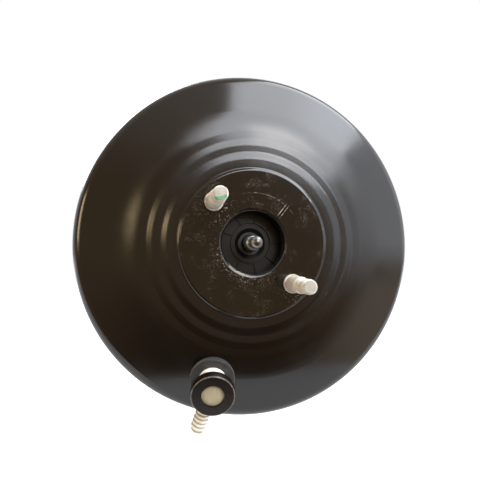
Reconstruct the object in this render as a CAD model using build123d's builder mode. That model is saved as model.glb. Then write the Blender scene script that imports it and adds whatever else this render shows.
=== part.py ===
from build123d import *
import os
from math import cos, radians, sin, sqrt, tan

# Single-diaphragm vacuum brake booster, in millimetres.
# The origin is the centre of the firewall face. +Y runs back along the pedal rod and +Z is
# up, so a station in front of the firewall face has a negative Y.

os.makedirs("parts", exist_ok=True)

# Clearances
running_gap = 0.08        # a sliding shaft in its bore, on the radius
rest_gap = 0.3            # soft pieces and stops, at rest
fit_gap = 0.1             # pushed-in pieces that stay with their seat

# Travels
stroke = 30.0             # power piston
lost_motion = 1.5         # pedal rod, before it moves the power piston
poppet_travel = 0.8

# Front shell
shell_radius = 127.8
front_sheet = 1.6
front_depth = 66.0        # boss face to the back of the clamped rim
hole_radius = 22.8
collar_length = 8.0
collar_lip = 2.4
boss_margin = 12.1        # boss edge outside the circle of its studs
boss_step = 1.2
boss_edge = 1.9
inner_terrace_run = 7.2   # foot of the boss out to the first terrace's bend
inner_terrace_drop = 0.8
outer_terrace_run = 5.5   # first bend out to the second
outer_terrace_drop = 0.6
terrace_run = 4.5
terrace_bend = 9.0
crown_share = 0.27        # of the way from the terraces out to the wall
crown_slope = 2.5         # degrees, from the terraces out to the crown
crown_bend_share = 0.59    # of the way from the terraces out to the crown
cone_slope = 16.0         # degrees, from the crown out to the shoulder
shoulder_bend = 9.0
ledge_width = 2.9         # the step that the diaphragm bead sits on
ledge_bend = 2.0

# Crimped rim
bead_length = 7.0
bead_round = 1.0
lance_count = 12
lance_width = 20.0
lance_reach = 4.2
rim_lip = 1.8             # collar edge that stands behind the lances

# Rear shell
rear_sheet = 1.8
rear_depth = 34.0         # back of the clamped rim to the firewall face
rim_width = 11.0
rim_wall = 12.0
rim_wall_run = 8.0
mount_face_radius = 66.0
mount_face_step = 6.0
neck_radius = 28.5
neck_length = 14.0
neck_lip = 5.0
rear_bend = 3.0

# Studs and reinforcement plates
stud_circle_radius = 41.0  # master cylinder studs
stud_angle = 135.0
stud_radius = 5.0
stud_shank_radius = 5.6   # serrated length in the plate
stud_collar_radius = 6.9
stud_collar_height = 2.0
stud_shoulder_radius = 5.8
stud_shoulder_height = 22.0
stud_standout = 40.3
stud_head_radius = 8.5
stud_head_height = 3.0
front_plate_thickness = 2.5
front_plate_margin = 2.1  # inside the boss's edge
firewall_circle_radius = 50.0
firewall_stud_count = 4
firewall_stud_radius = 4.0
firewall_shank_radius = 4.6
firewall_standout = 25.0
firewall_head_radius = 7.5
firewall_head_height = 2.5
rear_plate_thickness = 2.0
rear_plate_margin = 4.0   # inside the firewall face's edge
stud_tip_chamfer = 1.0

# Front guide and rod seal
guide_wall = 1.8
guide_flange_radius = 31.5
guide_flange_thickness = 2.0
guide_face_depth = 14.75  # boss face to the slotted ring
guide_ring_thickness = 2.5
guide_slot_count = 9
guide_slot_width = 1.1
guide_slot_depth = 1.0
guide_slot_end = 0.6      # land between the slots and the wall
guide_groove_radius = 15.4
guide_groove_width = 0.9
guide_dish_radius = 11.5
guide_dish_depth = 1.6
rod_seal_radius = 8.6

# Power piston
tail_radius = 19.0
tail_bore = 15.6
tail_overhang = 12.0      # tail left behind the neck at full stroke
head_radius = 42.0
head_thickness = 6.0
head_rib_count = 12
head_rib_thickness = 2.0
head_rib_height = 9.0
hub_radius = 19.0
hub_length = 21.3
reaction_bore = 14.1
reaction_bore_depth = 14.0
reaction_thickness = 7.0
piston_edge = 1.0

# Diaphragm and its support plate
diaphragm_gap = 0.7
diaphragm_thickness = 2.2
diaphragm_bead_radius = 25.0
diaphragm_bead_height = 3.0
support_sheet = 1.5
support_gap = 23.8        # shell's outside to the support plate's rim
support_rim = 11.0
support_bend = 3.0
cone_gap = 1.5            # diaphragm to the rear shell's cone
roll_forward = 17.0       # reach of the rolling fold in front of the support rim's root

# Output rod
rod_radius = 5.75
rod_head_thickness = 4.0
rod_shank_depth = 8.2     # boss face back to the end of the shank
rod_standout = 14.5       # boss face out to the tip of the adjusting screw
rod_clip_thickness = 2.0
screw_thread_radius = 5.0
screw_thread_length = 7.0
screw_nose_radius = 4.45
screw_tail_radius = 3.0
screw_tail_length = 12.0

# Return spring
return_wire = 3.6
return_coil_radius = 29.2
return_turns = 5.5

# Control valve
plunger_radius = 6.0
plunger_neck_radius = 3.4
plunger_body_radius = 8.6
plunger_neck_play = 2.0
plunger_seat_width = 1.2
ball_radius = 4.6
ball_floor = 1.4
ball_mouth = 4.4
key_thickness = 2.4
key_width = 13.0
key_overhang = 2.6
key_slot_gap = 0.3
valve_chamber_depth = 4.3
vacuum_seat_radius = 10.0
vacuum_seat_width = 1.4
air_gap = 1.0
vacuum_port_width = 7.0
vacuum_port_length = 5.0
poppet_bore = 5.9
poppet_radius = 14.6
poppet_thickness = 3.4
poppet_skirt_length = 5.2
poppet_skirt_wall = 1.4
retainer_bore = 9.6
retainer_wall = 0.9
retainer_length = 3.7
retainer_flange = 1.4
poppet_wire = 0.9
poppet_coil_radius = 8.0
poppet_turns = 5.0
rod_spring_wire = 1.4
rod_spring_radius = 11.0
rod_spring_length = 13.8
rod_spring_turns = 4.0

# Pedal rod
pedal_neck_radius = 3.6
pedal_neck_length = 11.3
pedal_rod_radius = 5.0
cup_radius = 13.6
cup_skirt = 3.0
cup_wall = 1.0
cup_collar_radius = 6.8
cup_collar_thickness = 2.0
pedal_reach = 142.0       # firewall face to the clevis pin
nut_flats = 17.0
nut_thickness = 6.0
clevis_width = 20.0
clevis_slot = 10.2
clevis_height = 20.0
clevis_slot_length = 22.0
clevis_boss_radius = 8.5
clevis_boss_length = 12.0
clevis_pin_radius = 5.0
clevis_wall = 2.0
thread_engagement = 10.0

# Tail end pieces
filter_gap = 1.0
filter_bore = 7.4
filter_length = 6.0
silencer_length = 4.0
cage_length = 1.8
cage_bar = 2.0
cage_slot_count = 10
cage_slot_width = 2.4

# Neck pieces
retaining_ring_thickness = 1.2
bush_length = 3.7
seal_lip = 1.4
seal_wall = 2.4
neck_mouth_gap = 1.3

# Dust boot
boot_wall = 1.4
boot_bead_length = 7.0
boot_bead_wall = 2.6
boot_fold_count = 5
boot_fold_height = 4.0
boot_guard = 1.2          # first valleys stay this far outside the neck
boot_tail_bead = 4.0
boot_bend = 1.7

# Check valve
valve_angle = 254.0       # around the axis, seen from the front, from +X towards +Z
valve_share = 0.473       # of the way from the terraces out to the shell's wall
grommet_flange_radius = 16.0
grommet_flange_thickness = 3.0
grommet_neck_radius = 11.0
grommet_tail_radius = 13.5
grommet_tail_length = 3.4
grommet_edge = 1.0
spigot_radius = 8.0
spigot_passage = 4.2
spigot_stop = 1.5
valve_neck_radius = 10.0
valve_cavity_radius = 7.3
valve_flange_radius = 15.2
valve_flange_thickness = 1.2
valve_face_height = 23.2
cap_radius = 14.8
cap_bore = 7.8
cap_thickness = 4.8
cap_edge = 1.3
plug_depth = 3.0
plug_dome = 0.9
disc_radius = 5.6
disc_thickness = 2.0
disc_spring_wire = 0.7
disc_spring_radius = 4.0
disc_spring_turns = 4.0
hose_height = 9.6
hose_reach = 35.4
hose_root_radius = 4.5
hose_barb_radius = 5.4
hose_bore = 2.7
hose_barb_count = 5
hose_barb_pitch = 3.2
hose_tip_length = 1.2


def across(y):
    # Plane across the axis at station y, facing forward, with X right and Z up.
    return Plane.XZ.offset(-y)


# Stations along the axis
rim_y = -rear_depth
boss_y = rim_y - front_depth
front_inner_y = boss_y + front_sheet
front_plate_y = front_inner_y + front_plate_thickness
rear_inner_y = -rear_sheet
rear_plate_y = rear_inner_y - rear_plate_thickness
ledge_y = rim_y - rear_sheet - bead_length
collar_end_y = rim_y + front_sheet + rim_lip
tail_y = neck_length + stroke + tail_overhang

# Rim radii
skirt_bore = shell_radius - front_sheet
collar_bore = skirt_bore + ledge_width
collar_radius = shell_radius + ledge_width
rim_radius = collar_bore - fit_gap

# Front shell outline, as radius and depth behind the boss face, along the outside
boss_radius = stud_circle_radius + boss_margin
inner_terrace_radius = boss_radius + boss_step + inner_terrace_run
outer_terrace_radius = inner_terrace_radius + terrace_run + outer_terrace_run
terrace_radius = outer_terrace_radius + terrace_run
terrace_depth = boss_step + inner_terrace_drop + outer_terrace_drop
crown_run = crown_share * (shell_radius - terrace_radius)
crown_radius = terrace_radius + crown_run
crown_depth = terrace_depth + crown_run * tan(radians(crown_slope))
crown_bend = crown_bend_share * crown_run / tan(radians((cone_slope - crown_slope) / 2))
shoulder_depth = crown_depth + (shell_radius - crown_radius) * tan(radians(cone_slope))
front_outline = [
    (hole_radius, collar_length),
    (hole_radius, 0),
    (boss_radius, 0),
    (boss_radius + boss_step, boss_step),
    (inner_terrace_radius, boss_step),
    (inner_terrace_radius + terrace_run, boss_step + inner_terrace_drop),
    (outer_terrace_radius, boss_step + inner_terrace_drop),
    (terrace_radius, terrace_depth),
    (crown_radius, crown_depth),
    (shell_radius, shoulder_depth),
    (shell_radius, ledge_y - front_sheet - boss_y),
    (collar_radius, ledge_y - front_sheet - boss_y),
    (collar_radius, collar_end_y - boss_y),
]
front_bends = [
    collar_lip,
    boss_edge,
    boss_step,
    terrace_bend,
    terrace_bend,
    terrace_bend,
    terrace_bend,
    crown_bend,
    shoulder_bend,
    ledge_bend - front_sheet + running_gap,
    ledge_bend,
]

# Rear shell outline, as radius and station, along the outside
wall_foot = (rim_radius - rim_width, rim_y)
wall_head = (wall_foot[0] - rim_wall_run, rim_y + rim_wall)
face_foot = (mount_face_radius + mount_face_step, -mount_face_step)
neck_bore = neck_radius - rear_sheet
rear_outline = [
    (rim_radius, rim_y),
    wall_foot,
    wall_head,
    face_foot,
    (mount_face_radius, 0),
    (neck_radius, 0),
    (neck_radius, neck_length),
    (neck_radius - neck_lip, neck_length),
]

# Check valve placing on the cone of the front shell
valve_radius = terrace_radius + valve_share * (shell_radius - terrace_radius)
valve_depth = crown_depth + (valve_radius - crown_radius) * tan(radians(cone_slope))
valve_out = Vector(cos(radians(valve_angle)), 0, sin(radians(valve_angle)))
valve_seat = valve_out * valve_radius + Vector(0, boss_y + valve_depth, 0)
valve_axis = valve_out * sin(radians(cone_slope)) - Vector(0, 1, 0) * cos(radians(cone_slope))
hose_axis = valve_out * cos(radians(cone_slope)) + Vector(0, 1, 0) * sin(radians(cone_slope))
valve_section = Plane(valve_seat, x_dir=hose_axis, z_dir=hose_axis.cross(valve_axis))
valve_line = Axis(valve_seat, valve_axis)


def on_valve(height):
    # Plane across the check valve at a height above the shell, facing outwards.
    return Plane(valve_seat + valve_axis * height, x_dir=hose_axis, z_dir=valve_axis)


# Front shell: pressed cover with the master cylinder boss and the crimped collar
with BuildPart() as front_shell:
    with BuildSketch():
        with BuildLine():
            FilletPolyline(
                [(radius, boss_y + depth) for radius, depth in front_outline],
                radius=front_bends,
            )
            offset(amount=front_sheet, side=Side.LEFT)
        make_face()
    revolve(axis=Axis.Y)
    with BuildSketch(across(collar_end_y)):
        with PolarLocations(collar_radius, lance_count):
            Rectangle(4 * front_sheet, lance_width)
    extrude(amount=rim_lip, mode=Mode.SUBTRACT)
    with BuildSketch(across(rim_y + front_sheet)):
        with PolarLocations(collar_radius - front_sheet / 2, lance_count):
            Rectangle(
                lance_reach + front_sheet / 2, lance_width, align=(Align.MAX, Align.CENTER)
            )
    extrude(amount=front_sheet)
    with BuildSketch(across(boss_y)):
        with PolarLocations(stud_circle_radius, 2, start_angle=stud_angle):
            Circle(stud_collar_radius + fit_gap)
    extrude(amount=-2 * front_sheet, mode=Mode.SUBTRACT)
    with BuildSketch(on_valve(grommet_flange_thickness)):
        Circle(grommet_neck_radius + fit_gap)
    extrude(amount=-4 * front_sheet - grommet_flange_thickness, mode=Mode.SUBTRACT)
front_shell.part.label = "front_shell"
export_step(front_shell.part, "parts/front_shell.step")


# Rear shell: cone, firewall face and the neck that the power piston slides through
with BuildPart() as rear_shell:
    with BuildSketch():
        with BuildLine():
            FilletPolyline(rear_outline, radius=rear_bend)
            offset(amount=rear_sheet, side=Side.LEFT)
        make_face()
    revolve(axis=Axis.Y)
    with BuildSketch(across(0)):
        with PolarLocations(firewall_circle_radius, firewall_stud_count, start_angle=45):
            Circle(firewall_shank_radius + fit_gap)
    extrude(amount=2 * rear_sheet, mode=Mode.SUBTRACT)
rear_shell.part.label = "rear_shell"
export_step(rear_shell.part, "parts/rear_shell.step")


# Reinforcement plates behind the two mounting faces
with BuildPart() as front_plate:
    with BuildSketch(across(front_plate_y)):
        Circle(boss_radius - front_plate_margin)
        Circle(hole_radius + collar_lip + fit_gap, mode=Mode.SUBTRACT)
        with PolarLocations(stud_circle_radius, 2, start_angle=stud_angle):
            Circle(stud_shank_radius + fit_gap, mode=Mode.SUBTRACT)
    extrude(amount=front_plate_thickness)
front_plate.part.label = "front_plate"
export_step(front_plate.part, "parts/front_plate.step")

with BuildPart() as rear_plate:
    with BuildSketch(across(rear_inner_y)):
        Circle(mount_face_radius - rear_plate_margin)
        Circle(neck_radius + rear_bend, mode=Mode.SUBTRACT)
        with PolarLocations(firewall_circle_radius, firewall_stud_count, start_angle=45):
            Circle(firewall_shank_radius + fit_gap, mode=Mode.SUBTRACT)
    extrude(amount=rear_plate_thickness)
rear_plate.part.label = "rear_plate"
export_step(rear_plate.part, "parts/rear_plate.step")


# Studs: head inside, shank through the plate and shell, threaded end outside
with BuildPart() as master_cylinder_studs:
    with BuildSketch(across(front_plate_y + stud_head_height)):
        with PolarLocations(stud_circle_radius, 2, start_angle=stud_angle):
            Circle(stud_head_radius)
    extrude(amount=stud_head_height)
    with BuildSketch(across(front_plate_y)):
        with PolarLocations(stud_circle_radius, 2, start_angle=stud_angle):
            Circle(stud_shank_radius)
    extrude(amount=front_plate_thickness)
    with BuildSketch(across(front_inner_y)):
        with PolarLocations(stud_circle_radius, 2, start_angle=stud_angle):
            Circle(stud_collar_radius)
    extrude(amount=front_sheet + stud_collar_height)
    with BuildSketch(across(boss_y)):
        with PolarLocations(stud_circle_radius, 2, start_angle=stud_angle):
            Circle(stud_shoulder_radius)
    extrude(amount=stud_shoulder_height)
    with BuildSketch(across(boss_y - stud_shoulder_height)):
        with PolarLocations(stud_circle_radius, 2, start_angle=stud_angle):
            Circle(stud_radius)
    extrude(amount=stud_standout - stud_shoulder_height)
    chamfer(
        master_cylinder_studs.faces().sort_by(Axis.Y)[:2].edges(),
        length=stud_tip_chamfer,
    )
master_cylinder_studs.part.label = "master_cylinder_studs"
export_step(master_cylinder_studs.part, "parts/master_cylinder_studs.step")

with BuildPart() as firewall_studs:
    with BuildSketch(across(rear_plate_y)):
        with PolarLocations(firewall_circle_radius, firewall_stud_count, start_angle=45):
            Circle(firewall_head_radius)
    extrude(amount=firewall_head_height)
    with BuildSketch(across(0)):
        with PolarLocations(firewall_circle_radius, firewall_stud_count, start_angle=45):
            Circle(firewall_shank_radius)
    extrude(amount=-rear_plate_y)
    with BuildSketch(across(firewall_standout)):
        with PolarLocations(firewall_circle_radius, firewall_stud_count, start_angle=45):
            Circle(firewall_stud_radius)
    extrude(amount=firewall_standout)
    chamfer(
        firewall_studs.faces().sort_by(Axis.Y)[-firewall_stud_count:].edges(),
        length=stud_tip_chamfer,
    )
firewall_studs.part.label = "firewall_studs"
export_step(firewall_studs.part, "parts/firewall_studs.step")


# Front guide: flanged sleeve with a slotted ring, which carries the return spring's front end
guide_bore = hole_radius + front_sheet + rest_gap
guide_outside = guide_bore + guide_wall
guide_face_y = boss_y + guide_face_depth
guide_back_y = guide_face_y + guide_ring_thickness
guide_seat_y = front_plate_y + guide_flange_thickness
groove_depth = guide_ring_thickness / 2
slot_start = guide_groove_radius - guide_groove_width / 2
with BuildPart() as front_guide:
    with BuildSketch():
        with BuildLine():
            Polyline(
                (guide_bore, front_plate_y),
                (guide_flange_radius, front_plate_y),
                (guide_flange_radius, guide_seat_y),
                (guide_outside, guide_seat_y),
                (guide_outside, guide_back_y),
                (guide_dish_radius, guide_back_y),
                (rod_seal_radius, guide_back_y + guide_dish_depth),
                (rod_seal_radius, guide_face_y + guide_dish_depth),
                (guide_dish_radius, guide_face_y),
                (guide_groove_radius - guide_groove_width, guide_face_y),
                (guide_groove_radius - guide_groove_width, guide_face_y + groove_depth),
                (guide_groove_radius, guide_face_y + groove_depth),
                (guide_groove_radius, guide_face_y),
                (guide_bore, guide_face_y),
                close=True,
            )
        make_face()
    revolve(axis=Axis.Y)
    with BuildSketch(across(guide_face_y)):
        with PolarLocations(slot_start, guide_slot_count):
            Rectangle(
                guide_bore - guide_slot_end - slot_start,
                guide_slot_width,
                align=(Align.MIN, Align.CENTER),
            )
    extrude(amount=-guide_slot_depth, mode=Mode.SUBTRACT)
front_guide.part.label = "front_guide"
export_step(front_guide.part, "parts/front_guide.step")

# Rod seal: rubber ring in the guide, with a lip towards the shank
seal_front_y = guide_face_y + guide_dish_depth
seal_back_y = guide_back_y + guide_dish_depth
with BuildPart() as rod_seal:
    with BuildSketch():
        with BuildLine():
            Polyline(
                (rod_seal_radius, seal_front_y),
                (rod_seal_radius, seal_back_y),
                (rod_radius + 2 * rest_gap, seal_back_y),
                (rod_radius + rest_gap, seal_front_y + rest_gap),
                (rod_radius + 3 * rest_gap, seal_front_y),
                close=True,
            )
        make_face()
    revolve(axis=Axis.Y)
rod_seal.part.label = "rod_seal"
export_step(rod_seal.part, "parts/rod_seal.step")


# Diaphragm: bead in the rim, rolling fold, then flat against the support plate
cone_rise = (face_foot[1] - wall_head[1]) / (wall_head[0] - face_foot[0])
cone_stretch = sqrt(1 + cone_rise**2)


def cone_y(radius, inset):
    # Station at a radius, a distance inside the outer surface of the rear shell's cone.
    return face_foot[1] - (radius - face_foot[0]) * cone_rise - inset * cone_stretch


def cone_corner(y, inset):
    # Point where that inner line meets station y.
    return (face_foot[0] + (cone_y(face_foot[0], inset) - y) / cone_rise, y)


support_radius = shell_radius - support_gap
diaphragm_inset = rear_sheet + cone_gap
support_inset = diaphragm_inset + diaphragm_thickness + rest_gap
diaphragm_y = rear_plate_y - firewall_head_height - diaphragm_gap
support_y = diaphragm_y - diaphragm_thickness - rest_gap
fold_radius = support_radius + rest_gap + diaphragm_thickness
fold_bore = skirt_bore - diaphragm_gap - diaphragm_thickness
fold_bend = (fold_bore - fold_radius) / 2
fold_y = cone_y(fold_radius, diaphragm_inset) - roll_forward
with BuildPart() as diaphragm:
    with BuildSketch():
        with BuildLine():
            FilletPolyline(
                (tail_radius + rest_gap, diaphragm_y),
                cone_corner(diaphragm_y, diaphragm_inset),
                (fold_radius, cone_y(fold_radius, diaphragm_inset)),
                (fold_radius, fold_y),
                radius=support_bend,
            )
            ThreePointArc(
                (fold_radius, fold_y),
                (fold_radius + fold_bend, fold_y - fold_bend),
                (fold_bore, fold_y),
            )
            Line((fold_bore, fold_y), (fold_bore, ledge_y + diaphragm_thickness))
            offset(amount=diaphragm_thickness, side=Side.RIGHT)
        make_face()
        with Locations((rim_radius, ledge_y)):
            Rectangle(rim_radius - fold_bore, bead_length, align=(Align.MAX, Align.MIN))
        with Locations((tail_radius + rest_gap, diaphragm_y - diaphragm_thickness)):
            Rectangle(
                diaphragm_bead_radius - tail_radius,
                diaphragm_bead_height,
                align=(Align.MIN, Align.MIN),
            )
    revolve(axis=Axis.Y)
    fillet(
        diaphragm.edges().filter_by(GeomType.CIRCLE).group_by(SortBy.RADIUS)[-1],
        radius=bead_round,
    )
diaphragm.part.label = "diaphragm"
export_step(diaphragm.part, "parts/diaphragm.step")

with BuildPart() as support_plate:
    with BuildSketch():
        with BuildLine():
            FilletPolyline(
                (tail_radius + fit_gap, support_y),
                cone_corner(support_y, support_inset),
                (support_radius, cone_y(support_radius, support_inset)),
                (support_radius, cone_y(support_radius, support_inset) - support_rim),
                radius=support_bend,
            )
            offset(amount=support_sheet, side=Side.RIGHT)
        make_face()
    revolve(axis=Axis.Y)
support_plate.part.label = "support_plate"
export_step(support_plate.part, "parts/support_plate.step")


# Stations of the power piston and the control valve inside it
head_y = support_y - support_sheet
head_front_y = head_y - head_thickness
hub_front_y = head_front_y - hub_length
reaction_floor_y = hub_front_y + reaction_bore_depth
rod_head_y = reaction_floor_y - reaction_thickness
rod_neck_y = rod_head_y - rod_head_thickness
bush_front_y = neck_mouth_gap + retaining_ring_thickness
key_back_y = neck_mouth_gap - rest_gap
key_front_y = key_back_y - key_thickness
plunger_front_y = reaction_floor_y + lost_motion + rest_gap
plunger_neck_y = key_front_y - plunger_neck_play
plunger_body_y = key_back_y + lost_motion + rest_gap
ball_y = plunger_body_y + ball_floor + ball_radius
air_seat_y = ball_y + ball_mouth
poppet_y = air_seat_y + rest_gap
vacuum_seat_y = poppet_y - poppet_travel - rest_gap
chamber_y = vacuum_seat_y - valve_chamber_depth
recess_y = plunger_body_y - lost_motion - rest_gap
recess_radius = plunger_body_radius + air_gap
poppet_back_y = poppet_y + poppet_thickness
retainer_y = poppet_back_y + poppet_skirt_length + rest_gap
retainer_back_y = retainer_y + retainer_length
cup_y = retainer_back_y + rod_spring_length + rest_gap
cup_back_y = cup_y + cup_wall
collar_back_y = cup_back_y + cup_collar_thickness
filter_y = collar_back_y + filter_gap
silencer_y = filter_y + filter_length
cage_y = silencer_y + silencer_length
seat_wall = vacuum_seat_radius + vacuum_seat_width

# Power piston: moulded head, front hub and the tail tube that holds the control valve
with BuildPart() as power_piston:
    with BuildSketch():
        with BuildLine():
            Polyline(
                (plunger_radius + running_gap, recess_y),
                (plunger_radius + running_gap, reaction_floor_y),
                (reaction_bore, reaction_floor_y),
                (reaction_bore, hub_front_y),
                (hub_radius, hub_front_y),
                (hub_radius, head_front_y),
                (head_radius, head_front_y),
                (head_radius, head_y),
                (tail_radius, head_y),
                (tail_radius, tail_y),
                (tail_bore, tail_y),
                (tail_bore, chamber_y),
                (seat_wall, chamber_y),
                (seat_wall, vacuum_seat_y),
                (vacuum_seat_radius, vacuum_seat_y),
                (vacuum_seat_radius, chamber_y),
                (recess_radius, chamber_y),
                (recess_radius, recess_y),
                close=True,
            )
        make_face()
    revolve(axis=Axis.Y)
    with BuildSketch(across(head_front_y)):
        with PolarLocations(hub_radius - piston_edge, head_rib_count):
            Rectangle(
                return_coil_radius - return_wire - hub_radius,
                head_rib_thickness,
                align=(Align.MIN, Align.CENTER),
            )
    extrude(amount=head_rib_height)
    with BuildSketch(across(chamber_y)):
        with PolarLocations((seat_wall + tail_bore) / 2, 2):
            Rectangle(tail_bore - seat_wall, vacuum_port_width)
    extrude(amount=chamber_y - head_front_y + vacuum_port_length, mode=Mode.SUBTRACT)
    with BuildSketch(across(head_front_y)):
        with PolarLocations((seat_wall + hub_radius) / 2, 2):
            Rectangle(hub_radius - seat_wall + 2 * piston_edge, vacuum_port_width)
    extrude(amount=vacuum_port_length, mode=Mode.SUBTRACT)
    with BuildSketch(across(key_back_y + key_slot_gap)):
        with Locations((tail_radius, 0)):
            Rectangle(
                tail_radius + key_width / 2,
                key_width + 2 * key_slot_gap,
                align=(Align.MAX, Align.CENTER),
            )
    extrude(amount=key_thickness + 2 * key_slot_gap, mode=Mode.SUBTRACT)
power_piston.part.label = "power_piston"
export_step(power_piston.part, "parts/power_piston.step")

# Stop key: forked plate through the piston's slot, round the plunger's neck
with BuildPart() as stop_key:
    with BuildSketch(across(key_back_y)):
        with Locations((tail_radius + key_overhang, 0)):
            Rectangle(
                tail_radius + key_overhang + key_width / 2 - key_slot_gap,
                key_width,
                align=(Align.MAX, Align.CENTER),
            )
        with Locations((-key_width, 0)):
            SlotCenterToCenter(
                2 * key_width, 2 * (plunger_neck_radius + rest_gap), mode=Mode.SUBTRACT
            )
    extrude(amount=key_thickness)
stop_key.part.label = "stop_key"
export_step(stop_key.part, "parts/stop_key.step")

# Reaction disc: rubber pad between the piston, the plunger and the output rod
with BuildPart() as reaction_disc:
    with BuildSketch(across(reaction_floor_y)):
        Circle(reaction_bore - fit_gap)
    extrude(amount=reaction_thickness)
reaction_disc.part.label = "reaction_disc"
export_step(reaction_disc.part, "parts/reaction_disc.step")

# Output rod: mushroom head on the reaction disc and a shank out to the master cylinder
shank_end_y = boss_y + rod_shank_depth
tip_y = boss_y - rod_standout
with BuildPart() as output_rod:
    with BuildSketch(across(rod_head_y)):
        Circle(reaction_bore - fit_gap)
    extrude(amount=rod_head_thickness)
    with BuildSketch(across(rod_neck_y)):
        Circle(rod_radius)
    extrude(amount=rod_neck_y - shank_end_y)
    chamfer(output_rod.faces().sort_by(Axis.Y)[0].edges(), length=piston_edge / 2)
    with BuildSketch(across(shank_end_y)):
        Circle(screw_tail_radius + fit_gap)
    extrude(amount=-screw_tail_length - fit_gap, mode=Mode.SUBTRACT)
output_rod.part.label = "output_rod"
export_step(output_rod.part, "parts/output_rod.step")

# Adjusting screw: threaded collar and a round nose that the master cylinder's piston rests on
with BuildPart() as adjusting_screw:
    with BuildSketch():
        with BuildLine():
            Polyline(
                (0, shank_end_y + screw_tail_length),
                (screw_tail_radius, shank_end_y + screw_tail_length),
                (screw_tail_radius, shank_end_y),
                (screw_thread_radius, shank_end_y),
                (screw_thread_radius, shank_end_y - screw_thread_length),
                (screw_nose_radius, shank_end_y - screw_thread_length),
                (screw_nose_radius, tip_y + screw_nose_radius),
            )
            RadiusArc(
                (screw_nose_radius, tip_y + screw_nose_radius), (0, tip_y), screw_nose_radius
            )
            Line((0, tip_y), (0, shank_end_y + screw_tail_length))
        make_face()
    revolve(axis=Axis.Y)
adjusting_screw.part.label = "adjusting_screw"
export_step(adjusting_screw.part, "parts/adjusting_screw.step")

# Rod clip: ring pressed into the hub's mouth in front of the rod's head
with BuildPart() as rod_clip:
    with BuildSketch(across(rod_neck_y)):
        Circle(reaction_bore - fit_gap)
        Circle(rod_radius + air_gap, mode=Mode.SUBTRACT)
    extrude(amount=rod_clip_thickness)
rod_clip.part.label = "rod_clip"
export_step(rod_clip.part, "parts/rod_clip.step")

# Valve plunger: feeler end, neck for the key, then the ball socket and the air seat
with BuildPart() as valve_plunger:
    with BuildSketch():
        with BuildLine():
            Polyline(
                (0, plunger_front_y),
                (plunger_radius, plunger_front_y),
                (plunger_radius, plunger_neck_y),
                (plunger_neck_radius, plunger_neck_y),
                (plunger_neck_radius, plunger_body_y),
                (plunger_body_radius, plunger_body_y),
                (plunger_body_radius, air_seat_y),
                (plunger_body_radius - plunger_seat_width, air_seat_y),
                (ball_radius + running_gap, ball_y + ball_mouth / 2),
                (ball_radius + running_gap, ball_y),
            )
            RadiusArc(
                (ball_radius + running_gap, ball_y),
                (0, ball_y - ball_radius - running_gap),
                ball_radius + running_gap,
            )
            Line((0, ball_y - ball_radius - running_gap), (0, plunger_front_y))
        make_face()
    revolve(axis=Axis.Y)
valve_plunger.part.label = "valve_plunger"
export_step(valve_plunger.part, "parts/valve_plunger.step")

# Poppet: rubber valve face with a skirt back to its retainer
with BuildPart() as poppet:
    with BuildSketch():
        with BuildLine():
            Polyline(
                (poppet_bore, poppet_y),
                (poppet_radius, poppet_y),
                (poppet_radius, poppet_back_y + poppet_skirt_length),
                (poppet_radius - poppet_skirt_wall, poppet_back_y + poppet_skirt_length),
                (poppet_radius - poppet_skirt_wall, poppet_back_y),
                (poppet_bore, poppet_back_y),
                close=True,
            )
        make_face()
    revolve(axis=Axis.Y)
poppet.part.label = "poppet"
export_step(poppet.part, "parts/poppet.step")

# Poppet retainer: flanged ring in the tail bore, seat of the rod spring
with BuildPart() as poppet_retainer:
    with BuildSketch():
        with BuildLine():
            Polyline(
                (tail_bore - fit_gap, retainer_y),
                (tail_bore - fit_gap, retainer_back_y),
                (retainer_bore, retainer_back_y),
                (retainer_bore, retainer_back_y - retainer_flange),
                (tail_bore - fit_gap - retainer_wall, retainer_back_y - retainer_flange),
                (tail_bore - fit_gap - retainer_wall, retainer_y),
                close=True,
            )
        make_face()
    revolve(axis=Axis.Y)
poppet_retainer.part.label = "poppet_retainer"
export_step(poppet_retainer.part, "parts/poppet_retainer.step")


def coil(turns, mean_radius, wire, base, direction, length):
    # Compression spring between two seats a length apart, with its wire just touching both.
    run = length - wire
    start = base + direction * (wire / 2)
    with BuildPart() as spring:
        with BuildLine() as path:
            Helix(run / turns, run, mean_radius, center=start, direction=direction)
        with BuildSketch(Plane(path.line @ 0, z_dir=path.line % 0)):
            Circle(wire / 2)
        sweep(path=path.line, is_frenet=True)
    return spring.part


backward = Vector(0, 1, 0)
return_spring = coil(
    return_turns,
    return_coil_radius,
    return_wire,
    Vector(0, guide_seat_y, 0),
    backward,
    head_front_y - guide_seat_y - rest_gap,
)
return_spring.label = "return_spring"
export_step(return_spring, "parts/return_spring.step")

poppet_spring = coil(
    poppet_turns,
    poppet_coil_radius,
    poppet_wire,
    Vector(0, poppet_back_y + rest_gap, 0),
    backward,
    cup_y - poppet_back_y - 2 * rest_gap,
)
poppet_spring.label = "poppet_spring"
export_step(poppet_spring, "parts/poppet_spring.step")

rod_spring = coil(
    rod_spring_turns,
    rod_spring_radius,
    rod_spring_wire,
    Vector(0, retainer_back_y, 0),
    backward,
    rod_spring_length,
)
rod_spring.label = "rod_spring"
export_step(rod_spring, "parts/rod_spring.step")


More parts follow.
